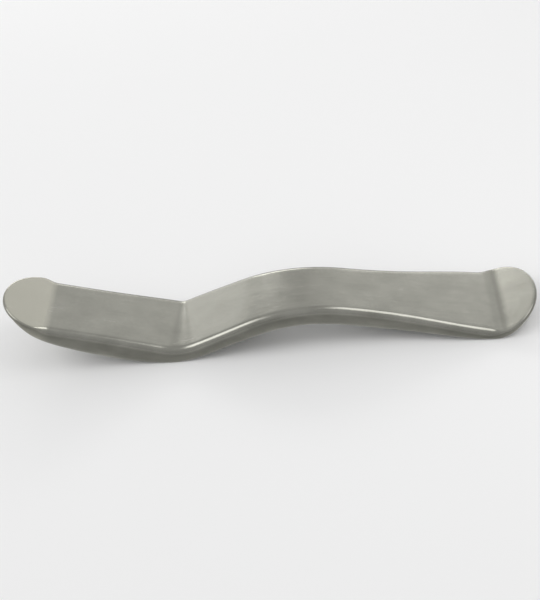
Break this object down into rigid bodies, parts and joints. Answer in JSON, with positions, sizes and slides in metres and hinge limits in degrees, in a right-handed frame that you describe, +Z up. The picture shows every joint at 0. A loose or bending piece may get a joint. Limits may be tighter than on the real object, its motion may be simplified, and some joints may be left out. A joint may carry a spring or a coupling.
{
  "type": "surgical retractor",
  "caption": "Hand-held surgical retractor: a channel-section strip of satin stainless steel bent to a long S, with rounded, upturned ends.",
  "frame": {"origin": "under the middle of the part's bounding box, on the surface it lies on", "axes": "+X along the tool from the narrow, longer blade to the wide end, +Y across it, +Z up with the folded edges down"},
  "size_m": [0.1478, 0.0262, 0.0215],
  "materials": {
    "steel": "satin"
  },
  "bodies": {
    "root": {"retractor_body": "steel"}
  },
  "joints": []
}
